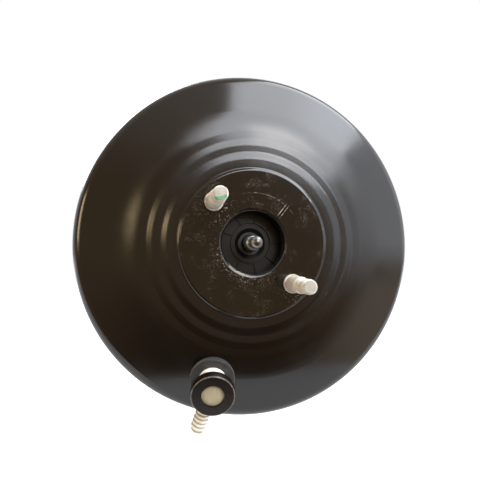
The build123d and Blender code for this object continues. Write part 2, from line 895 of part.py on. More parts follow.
# Pedal rod: ball end in the plunger, upset collar for the spring cup, threaded back end
pin_y = pedal_reach
slot_floor_y = pin_y + clevis_height / 2 - clevis_slot_length
boss_front_y = slot_floor_y - clevis_boss_length
rod_end_y = boss_front_y + thread_engagement
with BuildPart() as pedal_rod:
    with Locations((0, ball_y, 0)):
        Sphere(ball_radius)
    with BuildSketch(across(ball_y)):
        Circle(pedal_neck_radius)
    extrude(amount=-pedal_neck_length)
    with BuildSketch(across(ball_y + pedal_neck_length)):
        Circle(pedal_rod_radius)
    extrude(amount=ball_y + pedal_neck_length - rod_end_y)
    with BuildSketch(across(cup_back_y)):
        Circle(cup_collar_radius)
    extrude(amount=-cup_collar_thickness)
    chamfer(pedal_rod.faces().sort_by(Axis.Y)[-1].edges(), length=stud_tip_chamfer)
pedal_rod.part.label = "pedal_rod"
export_step(pedal_rod.part, "parts/pedal_rod.step")

# Spring cup: dished washer against the rod's collar
with BuildPart() as spring_cup:
    with BuildSketch(across(cup_back_y)):
        Circle(cup_radius)
        Circle(pedal_rod_radius + fit_gap, mode=Mode.SUBTRACT)
    extrude(amount=cup_wall)
    with BuildSketch(across(cup_y)):
        Circle(cup_radius)
        Circle(cup_radius - cup_wall, mode=Mode.SUBTRACT)
    extrude(amount=cup_skirt)
spring_cup.part.label = "spring_cup"
export_step(spring_cup.part, "parts/spring_cup.step")

# Lock nut on the rod's thread, against the clevis
with BuildPart() as lock_nut:
    with BuildSketch(across(boss_front_y)):
        RegularPolygon(nut_flats / 2, 6, major_radius=False)
        Circle(pedal_rod_radius + fit_gap, mode=Mode.SUBTRACT)
    extrude(amount=nut_thickness)
lock_nut.part.label = "lock_nut"
export_step(lock_nut.part, "parts/lock_nut.step")

# Clevis: threaded boss and two eyes for the brake pedal's pin
with BuildPart() as clevis:
    with BuildSketch(across(boss_front_y)):
        Circle(clevis_boss_radius)
    extrude(amount=-clevis_boss_length)
    with BuildSketch(Plane.YZ.offset(-clevis_width / 2)):
        with Locations((pin_y, 0)):
            Circle(clevis_height / 2)
        with Locations((slot_floor_y - clevis_wall, 0)):
            Rectangle(
                pin_y - slot_floor_y + clevis_wall,
                clevis_height,
                align=(Align.MIN, Align.CENTER),
            )
        with Locations((pin_y, 0)):
            Circle(clevis_pin_radius, mode=Mode.SUBTRACT)
    extrude(amount=clevis_width)
    with BuildSketch(Plane.XY.offset(-clevis_height / 2)):
        with Locations((0, slot_floor_y)):
            Rectangle(clevis_slot, clevis_slot_length, align=(Align.CENTER, Align.MIN))
    extrude(amount=clevis_height, mode=Mode.SUBTRACT)
    with BuildSketch(across(boss_front_y)):
        Circle(pedal_rod_radius + fit_gap)
    extrude(amount=boss_front_y - slot_floor_y, mode=Mode.SUBTRACT)
clevis.part.label = "clevis"
export_step(clevis.part, "parts/clevis.step")


# Air filter, silencer pad and the cage that keeps them in the tail
with BuildPart() as air_filter:
    with BuildSketch(across(silencer_y)):
        Circle(tail_bore - fit_gap)
        Circle(filter_bore, mode=Mode.SUBTRACT)
    extrude(amount=filter_length)
air_filter.part.label = "air_filter"
export_step(air_filter.part, "parts/air_filter.step")

with BuildPart() as silencer_pad:
    with BuildSketch(across(cage_y)):
        Circle(tail_bore - fit_gap)
        Circle(filter_bore, mode=Mode.SUBTRACT)
    extrude(amount=silencer_length)
silencer_pad.part.label = "silencer_pad"
export_step(silencer_pad.part, "parts/silencer_pad.step")

with BuildPart() as filter_cage:
    with BuildSketch(across(cage_y + cage_length)):
        Circle(tail_bore - fit_gap)
        Circle(filter_bore + air_gap, mode=Mode.SUBTRACT)
        with PolarLocations(filter_bore + cage_bar, cage_slot_count):
            Rectangle(
                tail_bore - filter_bore - 2 * cage_bar,
                cage_slot_width,
                align=(Align.MIN, Align.CENTER),
                mode=Mode.SUBTRACT,
            )
    extrude(amount=cage_length)
filter_cage.part.label = "filter_cage"
export_step(filter_cage.part, "parts/filter_cage.step")


# Neck pieces round the tail: retaining ring, guide bush and lip seal
bush_back_y = bush_front_y + bush_length
seal_back_end_y = neck_length - rear_sheet
lip_bend = rear_bend - rear_sheet
with BuildPart() as retaining_ring:
    with BuildSketch(across(bush_front_y)):
        Circle(neck_bore)
        Circle(tail_radius + air_gap, mode=Mode.SUBTRACT)
    extrude(amount=retaining_ring_thickness)
retaining_ring.part.label = "retaining_ring"
export_step(retaining_ring.part, "parts/retaining_ring.step")

with BuildPart() as guide_bush:
    with BuildSketch(across(bush_back_y)):
        Circle(neck_bore)
        Circle(tail_radius + running_gap, mode=Mode.SUBTRACT)
    extrude(amount=bush_length)
guide_bush.part.label = "guide_bush"
export_step(guide_bush.part, "parts/guide_bush.step")

with BuildPart() as hub_seal:
    with BuildSketch():
        with BuildLine():
            Polyline(
                (neck_bore - fit_gap, bush_back_y),
                (neck_bore - fit_gap, seal_back_end_y - lip_bend),
                (neck_bore - fit_gap - lip_bend, seal_back_end_y),
                (neck_bore - seal_wall, seal_back_end_y),
                (neck_bore - seal_wall, bush_back_y + seal_wall),
                (tail_radius + seal_lip + rest_gap, bush_back_y + seal_wall),
                (tail_radius + rest_gap, seal_back_end_y - seal_lip),
                (tail_radius + rest_gap, bush_back_y),
                close=True,
            )
        make_face()
    revolve(axis=Axis.Y)
hub_seal.part.label = "hub_seal"
export_step(hub_seal.part, "parts/hub_seal.step")


# Dust boot: folds from the shell's neck back to the end of the tail
boot_start_y = neck_length - boot_bead_length
fold_front_y = neck_length + boot_wall
fold_back_y = tail_y - boot_tail_bead - boot_wall
fold_pitch = (fold_back_y - fold_front_y) / boot_fold_count
neck_valley = neck_radius + boot_guard
tail_valley = tail_radius + rest_gap
boot_bore = []
for fold in range(boot_fold_count):
    valley = neck_valley + (tail_valley - neck_valley) * (fold / boot_fold_count) ** 2
    next_valley = neck_valley + (tail_valley - neck_valley) * ((fold + 1) / boot_fold_count) ** 2
    crest = (valley + next_valley) / 2 + boot_fold_height
    boot_bore.append((valley, fold_front_y + fold * fold_pitch))
    boot_bore.append((crest, fold_front_y + (fold + 0.5) * fold_pitch))
with BuildPart() as dust_boot:
    with BuildSketch():
        with BuildLine():
            FilletPolyline(
                [
                    (neck_radius, boot_start_y),
                    (neck_radius, neck_length - boot_wall),
                    *boot_bore,
                    (tail_valley, fold_back_y),
                    (tail_valley, tail_y - fit_gap),
                ],
                radius=boot_bend,
            )
            offset(amount=boot_wall, side=Side.RIGHT)
        make_face()
        with Locations((neck_radius, boot_start_y)):
            Rectangle(
                boot_bead_wall, boot_bead_length - boot_wall, align=(Align.MIN, Align.MIN)
            )
        with Locations((tail_valley, tail_y - fit_gap)):
            Rectangle(boot_bead_wall, boot_tail_bead, align=(Align.MIN, Align.MAX))
    revolve(axis=Axis.Y)
dust_boot.part.label = "dust_boot"
export_step(dust_boot.part, "parts/dust_boot.step")


# Check valve: grommet in the front shell, elbow body, cap ring, plug, disc and its spring
cavity_floor = grommet_flange_thickness + spigot_stop
flange_top = valve_face_height - cap_thickness
flange_base = flange_top - valve_flange_thickness
spigot_end = -front_sheet - rest_gap - grommet_tail_length
disc_top = cavity_floor + disc_thickness + fit_gap
plug_base = flange_top - plug_depth
with BuildPart() as valve_grommet:
    with BuildSketch(on_valve(grommet_flange_thickness)):
        Circle(grommet_flange_radius)
    extrude(amount=-grommet_flange_thickness - front_sheet + rest_gap)
    fillet(valve_grommet.faces().sort_by(valve_line)[-1].edges(), radius=grommet_edge)
    with BuildSketch(on_valve(spigot_end)):
        Circle(grommet_tail_radius)
    extrude(amount=-spigot_end - front_sheet + rest_gap)
    chamfer(valve_grommet.faces().sort_by(valve_line)[0].edges(), length=grommet_edge)
    add(front_shell.part, mode=Mode.SUBTRACT)
    with BuildSketch(on_valve(spigot_end)):
        Circle(spigot_radius)
    extrude(amount=grommet_flange_thickness - spigot_end, mode=Mode.SUBTRACT)
valve_grommet.part.label = "valve_grommet"
export_step(valve_grommet.part, "parts/valve_grommet.step")

barbs = [(hose_root_radius, valve_cavity_radius)]
for barb in range(hose_barb_count):
    barb_base = hose_reach - hose_tip_length - (hose_barb_count - barb) * hose_barb_pitch
    barbs.append((hose_root_radius, barb_base))
    barbs.append((hose_barb_radius, barb_base + hose_barb_pitch / 4))
    barbs.append((hose_barb_radius, barb_base + hose_barb_pitch / 2))
barbs.append((hose_root_radius, hose_reach - hose_tip_length))
hose_root = valve_seat + valve_axis * hose_height
hose_section = Plane(hose_root, x_dir=valve_axis, z_dir=valve_axis.cross(hose_axis))
with BuildPart() as check_valve_body:
    with BuildSketch(valve_section):
        with BuildLine():
            Polyline(
                (0, spigot_end - spigot_stop),
                (spigot_radius - air_gap, spigot_end - spigot_stop),
                (spigot_radius - running_gap, spigot_end),
                (spigot_radius - running_gap, grommet_flange_thickness),
                (valve_neck_radius, grommet_flange_thickness),
                (valve_neck_radius, flange_base),
                (valve_flange_radius, flange_base),
                (valve_flange_radius, flange_top),
                (0, flange_top),
                close=True,
            )
        make_face()
    revolve(axis=valve_line)
    with BuildSketch(hose_section):
        with BuildLine():
            Polyline(
                (0, valve_cavity_radius),
                *barbs,
                (hose_root_radius, hose_reach),
                (0, hose_reach),
                close=True,
            )
        make_face()
    revolve(axis=Axis(hose_root, hose_axis))
    with BuildSketch(on_valve(flange_top)):
        Circle(valve_cavity_radius)
    extrude(amount=cavity_floor - flange_top, mode=Mode.SUBTRACT)
    with BuildSketch(on_valve(cavity_floor)):
        Circle(spigot_passage)
    extrude(amount=spigot_end - spigot_stop - cavity_floor, mode=Mode.SUBTRACT)
    with BuildSketch(Plane(hose_root, x_dir=valve_axis, z_dir=hose_axis)):
        Circle(hose_bore)
    extrude(amount=hose_reach, mode=Mode.SUBTRACT)
check_valve_body.part.label = "check_valve_body"
export_step(check_valve_body.part, "parts/check_valve_body.step")

with BuildPart() as check_valve_cap:
    with BuildSketch(on_valve(flange_top)):
        Circle(cap_radius)
    extrude(amount=cap_thickness)
    fillet(check_valve_cap.faces().sort_by(valve_line)[-1].edges(), radius=cap_edge)
    with BuildSketch(on_valve(flange_top)):
        Circle(cap_bore)
    extrude(amount=cap_thickness, mode=Mode.SUBTRACT)
check_valve_cap.part.label = "check_valve_cap"
export_step(check_valve_cap.part, "parts/check_valve_cap.step")

with BuildPart() as check_valve_plug:
    with BuildSketch(valve_section):
        with BuildLine():
            Polyline(
                (0, valve_face_height - plug_dome),
                (0, plug_base),
                (valve_cavity_radius - fit_gap, plug_base),
                (valve_cavity_radius - fit_gap, flange_top),
                (cap_bore - fit_gap, flange_top),
                (cap_bore - fit_gap, valve_face_height - 2 * plug_dome),
            )
            RadiusArc(
                (cap_bore - fit_gap, valve_face_height - 2 * plug_dome),
                (0, valve_face_height - plug_dome),
                -((cap_bore - fit_gap) ** 2 + plug_dome**2) / (2 * plug_dome),
            )
        make_face()
    revolve(axis=valve_line)
check_valve_plug.part.label = "check_valve_plug"
export_step(check_valve_plug.part, "parts/check_valve_plug.step")

with BuildPart() as check_valve_disc:
    with BuildSketch(on_valve(cavity_floor + fit_gap)):
        Circle(disc_radius)
    extrude(amount=disc_thickness)
check_valve_disc.part.label = "check_valve_disc"
export_step(check_valve_disc.part, "parts/check_valve_disc.step")

disc_spring = coil(
    disc_spring_turns,
    disc_spring_radius,
    disc_spring_wire,
    valve_seat + valve_axis * (disc_top + rest_gap),
    valve_axis,
    plug_base - disc_top - rest_gap,
)
disc_spring.label = "disc_spring"
export_step(disc_spring, "parts/disc_spring.step")
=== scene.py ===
from math import cos, pi, radians, sin

import bpy
from mathutils import Matrix, Vector


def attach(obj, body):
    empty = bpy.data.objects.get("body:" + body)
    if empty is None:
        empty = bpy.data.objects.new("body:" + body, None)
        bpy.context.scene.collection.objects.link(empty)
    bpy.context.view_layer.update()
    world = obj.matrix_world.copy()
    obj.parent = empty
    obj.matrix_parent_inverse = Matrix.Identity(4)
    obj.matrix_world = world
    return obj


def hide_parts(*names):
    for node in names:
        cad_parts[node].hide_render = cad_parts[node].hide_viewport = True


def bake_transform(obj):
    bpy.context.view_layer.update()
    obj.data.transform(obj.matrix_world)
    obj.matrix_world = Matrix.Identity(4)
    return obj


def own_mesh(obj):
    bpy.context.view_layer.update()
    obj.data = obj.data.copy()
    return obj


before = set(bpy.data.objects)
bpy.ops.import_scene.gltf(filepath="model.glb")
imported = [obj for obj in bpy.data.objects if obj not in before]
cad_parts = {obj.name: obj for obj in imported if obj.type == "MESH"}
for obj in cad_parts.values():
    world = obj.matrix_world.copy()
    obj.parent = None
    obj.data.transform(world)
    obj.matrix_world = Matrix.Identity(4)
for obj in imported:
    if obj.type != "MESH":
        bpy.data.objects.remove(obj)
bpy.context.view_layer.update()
print("booster loaded:", len(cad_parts), "nodes")


class Wire:
    # an output socket that Python's operators work on; each one adds a Math node
    def __init__(self, tree, socket):
        self.tree = tree
        self.socket = socket

    def maths(self, operation, *values):
        return self.tree.node("ShaderNodeMath", {"operation": operation}, dict(enumerate(values)))

    def __add__(self, other):
        return self.maths("ADD", self, other)

    __radd__ = __add__

    def __sub__(self, other):
        return self.maths("SUBTRACT", self, other)

    def __rsub__(self, other):
        return self.maths("SUBTRACT", other, self)

    def __mul__(self, other):
        return self.maths("MULTIPLY", self, other)

    def __pow__(self, other):
        return self.maths("POWER", self, other)

    def __abs__(self):
        return self.maths("ABSOLUTE", self)

    def most(self, other):
        return self.maths("MAXIMUM", self, other)

    def rise(self, low, high):
        # 0 below low and 1 above high, with soft ends
        return self.tree.node(
            "ShaderNodeMapRange",
            {"interpolation_type": "SMOOTHSTEP"},
            {"Value": self, "From Min": low, "From Max": high},
        )


class NodeSet:
    # the nodes of one material or of the world
    def __init__(self, nodeTree):
        self.nodeTree = nodeTree

    def node(self, kind, settings=None, sockets=None, out=0):
        made = self.nodeTree.nodes.new(kind)
        for name, value in (settings or {}).items():
            setattr(made, name, value)
        for name, value in (sockets or {}).items():
            if isinstance(value, Wire):
                self.nodeTree.links.new(value.socket, made.inputs[name])
            elif isinstance(value, tuple) and made.inputs[name].type == "RGBA":
                made.inputs[name].default_value = (*value, 1)
            else:
                made.inputs[name].default_value = value
        return Wire(self, made.outputs[out])

    def place(self):
        return self.node("ShaderNodeTexCoord", out="Object")

    def parts(self, vector):
        split = self.node("ShaderNodeSeparateXYZ", sockets={0: vector})
        return [Wire(self, s) for s in split.socket.node.outputs]

    def noise(self, scale, detail=3.0, rough=0.55, stretch=None):
        spot = self.place()
        if stretch:
            spot = self.node("ShaderNodeMapping", sockets={"Vector": spot, "Scale": stretch})
        return self.node(
            "ShaderNodeTexNoise",
            sockets={"Vector": spot, "Scale": scale, "Detail": detail, "Roughness": rough},
        )

    def specks(self, scale, size):
        # round specks: 1 inside, 0 outside
        spots = self.node(
            "ShaderNodeTexVoronoi",
            sockets={"Vector": self.place(), "Scale": scale},
        )
        return 1 - spots.rise(size * 0.6, size)

    def mix(self, first, second, share):
        return self.node(
            "ShaderNodeMix",
            {"data_type": "RGBA"},
            {"Factor": share, 6: first, 7: second},
            out=2,
        )


class Finish(NodeSet):
    # a material; what is constant is set straight on the shader's sockets
    def __init__(self, name, fixed):
        self.material = bpy.data.materials.new(name)
        self.material.use_nodes = True
        super().__init__(self.material.node_tree)
        self.shader = self.nodeTree.nodes["Principled BSDF"]
        for socket, value in fixed.items():
            self.shader.inputs[socket].default_value = value

    def feed(self, socket, value):
        self.nodeTree.links.new(value.socket, self.shader.inputs[socket])

    def bump(self, height, depth, strength=1.0):
        # height runs from 0 to 1, depth is how many metres that is
        bumped = self.node(
            "ShaderNodeBump", sockets={"Height": height, "Distance": depth, "Strength": strength}
        )
        self.feed("Normal", bumped)


# Studio: a pale floor, one large cool window light up to the right with a brighter core, two
# small warm lights to the left, and one behind that only the rear shell sees

studio = {
    "floorHeight": -0.20,
    "floorFront": -0.20,
    "floorBack": 3.0,
    "floorWidth": 6.0,
    "lightAim": (0.0, -0.09, 0.0),
    "windowWay": (0.410, -0.535, 0.738),
    "windowDistance": 3.0,
    "windowSize": (4.5, 2.11),
    "windowTurn": 40.7,
    "windowPower": 240.0,
    "windowColour": (0.88, 0.93, 1.0),
    "coreWay": (0.285, -0.852, 0.438),
    "coreDistance": 2.6,
    "coreSize": (0.60, 0.66),
    "corePower": 8.0,
    "coreColour": (1.0, 0.98, 0.96),
    "shelfWay": (-0.363, -0.921, 0.14),
    "shelfDistance": 2.0,
    "shelfSize": (0.14, 0.23),
    "shelfPower": 1.7,
    "shelfColour": (1.0, 0.76, 0.42),
    "lampWay": (-0.89, -0.42, 0.17),
    "lampDistance": 2.0,
    "lampSize": (0.45, 0.6),
    "lampPower": 8.0,
    "lampColour": (1.0, 0.80, 0.52),
    "rearWay": (-0.45, 0.75, 0.55),
    "rearDistance": 3.0,
    "rearSize": (2.2, 1.6),
    "rearPower": 90.0,
    "rearColour": (1.0, 1.0, 1.0),
}

# What the paint mirrors: a colour, and between which heights or widths of the sky it fades in
sky = {
    "ahead": (0.58, 0.40, 0.23),
    "ground": (0.18, 0.115, 0.06),
    "groundRise": (0.08, 0.36),
    "groundWidth": (0.3, 0.75),
    "above": (1.0, 0.85, 0.72),
    "aboveRise": (0.35, 0.8),
    "window": (2.3, 2.35, 2.5),
    "windowSide": (0.32, 0.54),
    "windowRise": (-0.14, 0.05),
    "lowRight": (1.25, 1.05, 0.85),
    "lowRightSide": (0.4, 0.85),
    "lowRightRise": (0.05, 0.18),
    "behind": (1.15, 1.15, 1.15),
    "behindRise": (-0.1, 0.4),
    "backdrop": (1.0, 1.0, 1.0),
}


def studioLight(name):
    data = bpy.data.lights.new(name + "Light", "AREA")
    data.shape = "RECTANGLE"
    data.size, data.size_y = studio[name + "Size"]
    data.energy = studio[name + "Power"]
    data.color = studio[name + "Colour"]
    light = bpy.data.objects.new(name + "Light", data)
    bpy.context.scene.collection.objects.link(light)
    way = Vector(studio[name + "Way"]).normalized()
    light.rotation_mode = "QUATERNION"
    light.rotation_quaternion = way.to_track_quat("Z", "Y")
    light.location = Vector(studio["lightAim"]) + way * studio[name + "Distance"]
    return light


windowLight = studioLight("window")
windowTurn = Matrix.Rotation(radians(studio["windowTurn"]), 3, "Z").to_quaternion()
windowLight.rotation_quaternion @= windowTurn
for name in ("core", "shelf", "lamp", "rear"):
    studioLight(name)

world = bpy.data.worlds.new("studioWorld")
bpy.context.scene.world = world
world.use_nodes = True
air = NodeSet(world.node_tree)
sideways, depthways, upwards = air.parts(air.node("ShaderNodeTexCoord", out="Generated"))
downwards = 0 - upwards
ground = downwards.rise(*sky["groundRise"]) * (1 - abs(sideways).rise(*sky["groundWidth"]))
glow = air.mix(sky["ahead"], sky["ground"], ground)
glow = air.mix(glow, sky["above"], upwards.rise(*sky["aboveRise"]))
windowSide = sideways.rise(*sky["windowSide"]) * upwards.rise(*sky["windowRise"])
glow = air.mix(glow, sky["window"], windowSide)
lowRight = sideways.rise(*sky["lowRightSide"]) * downwards.rise(*sky["lowRightRise"])
glow = air.mix(glow, sky["lowRight"], lowRight)
glow = air.mix(glow, sky["behind"], depthways.rise(*sky["behindRise"]))
toCamera = air.node("ShaderNodeLightPath", out="Is Camera Ray")
glow = air.mix(glow, sky["backdrop"], toCamera)
air.nodeTree.links.new(glow.socket, air.nodeTree.nodes["Background"].inputs["Color"])

camera = {
    "place": (-0.0614, -0.4090, -0.0116),
    "turn": 9.455,
    "tilt": 2.462,
    "roll": 0.701,
    "lens": 33.0,
    "sensor": 36.0,
    "clip": (0.01, 50.0),
}
lens = bpy.data.cameras.new("photoCamera")
lens.lens, lens.sensor_width = camera["lens"], camera["sensor"]
lens.clip_start, lens.clip_end = camera["clip"]
viewer = bpy.data.objects.new("photoCamera", lens)
bpy.context.scene.collection.objects.link(viewer)
turn = Matrix.Rotation(radians(-camera["turn"]), 4, "Z")
tilt = Matrix.Rotation(radians(90 + camera["tilt"]), 4, "X")
roll = Matrix.Rotation(radians(camera["roll"]), 4, "Z")
viewer.matrix_world = Matrix.Translation(camera["place"]) @ turn @ tilt @ roll
bpy.context.scene.camera = viewer
bpy.context.scene.view_settings.view_transform = "Standard"
print("studio and camera ready")


# Finishes. Every pattern reads Object coordinates, in metres.

paint = {
    "colour": (0.0021, 0.0015, 0.0011),
    "dust": (0.30, 0.26, 0.21),
    "brown": (0.0065, 0.0046, 0.0024),
    "roughness": 0.13,
    "bossRadius": 0.0538,
    "peelScale": 900,
    "patchScale": 28,
    "dustScale": 620,
    "dustCloud": 60,
}

# Marks on the boss: places are (across, height), widths run from full to nothing
wear = {
    "lowerHeap": (0.031, -0.034),
    "lowerHeapSize": (0.004, 0.017),
    "upperHeap": (-0.026, 0.023),
    "upperHeapSize": (0.005, 0.018),
    "upperHeapShare": 0.75,
    "rimRadius": 0.027,
    "rimWidth": 0.006,
    "rimSide": (-0.01, 0.03),
    "scorePlace": (0.0215, 0.0235),
    "scoreWay": (0.79, 0.61),
    "scoreSpread": 0.0011,
    "scoreLength": (0.003, 0.0065),
    "turnedRadius": 0.0362,
    "turnedLean": 0.55,
    "turnedRise": (0.0, 0.02),
    "turnedStart": (-0.012, 0.0),
    "lineWidth": (0.0001, 0.0004),
    "lipRadius": 0.0234,
    "lipWidth": (0.0002, 0.0010),
    "lipLean": 1.7,
    "lipSide": (0.008, 0.022),
    "lipDrop": (0.004, 0.012),
    "terraceRadius": 0.066,
    "terraceWidth": (0.006, 0.013),
    "crownRadius": 0.091,
    "crownWidth": (0.003, 0.010),
}


def paintedSteel(name):
    # gloss stoving paint with a slight orange peel, dull patches and fine dust
    finish = Finish(name, {"Specular IOR Level": 0.5})
    peel = finish.noise(paint["peelScale"], 1.0)
    patches = finish.noise(paint["patchScale"], 4.0, 0.6)
    dust = finish.specks(paint["dustScale"], 0.16)
    dust = dust * finish.noise(paint["dustCloud"], 3.0).rise(0.56, 0.74)
    finish.feed("Base Color", finish.mix(paint["colour"], paint["dust"], dust * 0.4))
    finish.feed("Roughness", paint["roughness"] + patches.rise(0.35, 0.8) * 0.10 + dust * 0.3)
    finish.bump(peel, 0.00001, 0.5)
    return finish


def frontPaint():
    # the same paint, with the wear and dirt of the boss that the master cylinder is bolted to
    finish = Finish("frontShellPaint", {"Specular IOR Level": 0.5})
    across, height = finish.parts(finish.place())[::2]
    radius = (across * across + height * height) ** 0.5
    boss = 1 - radius.rise(paint["bossRadius"] - 0.001, paint["bossRadius"])
    peel = finish.noise(paint["peelScale"], 1.0)
    patches = finish.noise(paint["patchScale"], 4.0, 0.6)
    cloud = finish.noise(75, 5.0, 0.68)
    grime = finish.noise(420, 4.0, 0.7)

    def heapAt(name):
        # dirt that gathers round a place
        side, up = wear[name]
        return 1 - (((across - side) ** 2 + (height - up) ** 2) ** 0.5).rise(*wear[name + "Size"])

    heap = heapAt("lowerHeap").most(heapAt("upperHeap") * wear["upperHeapShare"])
    rim = 1 - abs(radius - wear["rimRadius"]).rise(0.0, wear["rimWidth"])
    rim = rim * (0 - across - height).rise(*wear["rimSide"])
    crumbs = finish.specks(900, 0.34) * grime.rise(0.46, 0.62)
    fine = finish.specks(1500, 0.30) * cloud.rise(0.50, 0.66)
    dirt = (heap * crumbs).most(rim * crumbs * 0.9).most(fine * 0.42) * boss
    haze = cloud.rise(0.35, 0.8) * boss

    # two short scores beside the hole, a faint turned line above it and chips on its lip
    side, up = wear["scorePlace"]
    wayUp, waySide = wear["scoreWay"]
    tilted = (across - side) * wayUp - (height - up) * waySide
    run = (across - side) * waySide + (height - up) * wayUp
    score = 1 - abs(abs(tilted) - wear["scoreSpread"]).rise(*wear["lineWidth"])
    score = score * (1 - abs(run).rise(*wear["scoreLength"])) * grime.rise(0.38, 0.6)
    turned = 1 - abs(radius - wear["turnedRadius"]).rise(*wear["lineWidth"])
    turned = turned * (height - abs(across) * wear["turnedLean"]).rise(*wear["turnedRise"])
    turned = turned * grime.rise(0.42, 0.62) * across.rise(*wear["turnedStart"])
    lip = 1 - abs(radius - wear["lipRadius"]).rise(*wear["lipWidth"])
    lip = lip * (1 - abs(height - across * wear["lipLean"] + 0.001).rise(*wear["lipSide"]))
    lip = lip * (0 - height).rise(*wear["lipDrop"]) * grime.rise(0.36, 0.58)
    marks = dirt.most(score * 0.9).most(turned * 0.35).most(lip * 0.8)

    body = finish.mix(paint["colour"], paint["brown"], haze * 0.45)
    away = finish.specks(paint["dustScale"], 0.14)
    away = away * finish.noise(paint["dustCloud"], 3.0).rise(0.60, 0.76) * (1 - boss)
    finish.feed("Base Color", finish.mix(body, paint["dust"], marks.most(away * 0.35)))

    # the boss is a little glossier, the terraces and the crown's bend a little duller
    terraces = 1 - abs(radius - wear["terraceRadius"]).rise(*wear["terraceWidth"])
    crown = 1 - abs(radius - wear["crownRadius"]).rise(*wear["crownWidth"])
    dull = boss * (haze * 0.03 - 0.028) + marks * 0.35 + terraces * 0.05 + crown * 0.07
    rough = patches.rise(0.35, 0.8) * (1 - boss) * 0.07
    finish.feed("Roughness", paint["roughness"] + rough + dull)
    finish.bump(peel * 0.25 + marks * 0.75, 0.00008, 0.5)
    return finish


def zincPlate(name, pale, grey, roughness=0.42):
    # white zinc plating, blotched and a little corroded
    finish = Finish(name, {"Metallic": 0.55})
    blotch = finish.noise(260, 4.0, 0.65)
    grain = finish.noise(2200, 2.0)
    finish.feed("Base Color", finish.mix(pale, grey, blotch.rise(0.42, 0.72)))
    finish.feed("Roughness", roughness + blotch * 0.25)
    finish.bump(grain * 0.6 + blotch * 0.4, 0.00003, 0.6)
    return finish


# The master cylinder studs: colours, and where along the stud or across its end they fade in
studLook = {
    "pale": (0.57, 0.555, 0.505),
    "grey": (0.33, 0.31, 0.265),
    "rust": (0.22, 0.15, 0.08),
    "rustFade": (-0.106, -0.100),
    "tip": (0.27, 0.26, 0.22),
    "tipFade": (0.1396, 0.1401),
    "dab": (0.05, 0.24, 0.13),
    "dabFade": (0.1388, 0.1395),
    "dabHeight": 0.0338,
    "dabLean": 0.22,
    "dabWidth": (0.0008, 0.0016),
    "dabSide": (0.0246, 0.0256),
}


def studZinc():
    # chalky zinc, rust tint at the foot, an inspection dab of green on the left stud's end
    finish = Finish("studZinc", {"Metallic": 0.5})
    across, along, height = finish.parts(finish.place())
    blotch = finish.noise(240, 5.0, 0.7)
    grain = finish.noise(2400, 2.0)
    colour = finish.mix(studLook["pale"], studLook["grey"], blotch.rise(0.44, 0.74))
    foot = along.rise(*studLook["rustFade"]) * blotch.rise(0.35, 0.6)
    colour = finish.mix(colour, studLook["rust"], foot * 0.6)
    brush = height - across * studLook["dabLean"] - studLook["dabHeight"]
    brush = abs(brush + finish.noise(420, 2.0) * 0.0022)
    dab = (0 - along).rise(*studLook["dabFade"]) * (1 - brush.rise(*studLook["dabWidth"]))
    dab = dab * (0 - across).rise(*studLook["dabSide"]) * finish.noise(600, 3.0).rise(0.30, 0.42)
    tip = (0 - along).rise(*studLook["tipFade"])
    colour = finish.mix(colour, studLook["tip"], tip * 0.7)
    finish.feed("Base Color", finish.mix(colour, studLook["dab"], dab * 0.9))
    finish.feed("Roughness", 0.5 + blotch * 0.3)
    finish.bump(grain * 0.5 + blotch * 0.5, 0.00005, 0.7)
    return finish


screwLook = {
    "dark": (0.040, 0.049, 0.058),
    "bright": (0.36, 0.38, 0.37),
    "brightFade": (0.0976, 0.0984),
    "noseWearAndShade": (0.075, 0.065, 0.055),
    "noseWearAndShadeFade": (0.1120, 0.1142),
}


def screwSteel():
    # the adjusting screw: dark where it is threaded, bright beyond; its nose's end darker, partly
    # wear and partly a painted dark reflection
    finish = Finish("screwSteel", {"Metallic": 0.9})
    forward = 0 - finish.parts(finish.place())[1]
    patchy = finish.noise(700, 4.0, 0.7)
    bright = forward.rise(*screwLook["brightFade"])
    # partly wear and partly painted shade: the nose's end is darkened where it mirrors the dark
    # room
    noseWearAndShade = forward.rise(*screwLook["noseWearAndShadeFade"]) * patchy.rise(0.2, 0.5)
    colour = finish.mix(screwLook["dark"], screwLook["bright"], bright * patchy.rise(0.25, 0.5))
    finish.feed("Base Color", finish.mix(colour, screwLook["noseWearAndShade"], noseWearAndShade))
    finish.feed("Roughness", 0.42 - bright * 0.18 + patchy * 0.12)
    finish.bump(patchy, 0.00003, 0.6)
    return finish


def plainSteel(name, colour, roughness, metallic=1.0):
    # drawn or pressed steel, with fine lines across the booster's axis and oil stains
    finish = Finish(name, {"Metallic": metallic})
    lines = finish.noise(220, 3.0, 0.6, stretch=(1.0, 14.0, 1.0))
    stain = finish.noise(65, 4.0, 0.6)
    dark = tuple(c * 0.55 for c in colour)
    finish.feed("Base Color", finish.mix(colour, dark, stain.rise(0.45, 0.75) * 0.7 + lines * 0.2))
    finish.feed("Roughness", roughness + stain * 0.18 + lines * 0.06)
    finish.bump(lines, 0.00002, 0.5)
    return finish


def mouldedPlastic(name, colour, roughness, dusty=0.25, shine=0.45):
    # moulded plastic with a fine spark-eroded grain and dust in its corners
    finish = Finish(name, {"Specular IOR Level": shine})
    grain = finish.noise(3000, 2.0, 0.5)
    cloud = finish.noise(90, 4.0, 0.65)
    dust = cloud.rise(0.48, 0.78) * dusty
    pale = tuple(min(1.0, c * 2.2 + 0.03) for c in colour)
    finish.feed("Base Color", finish.mix(colour, pale, dust))
    finish.feed("Roughness", roughness + dust * 0.4 + grain * 0.08)
    finish.bump(grain, 0.00002, 0.5)
    return finish


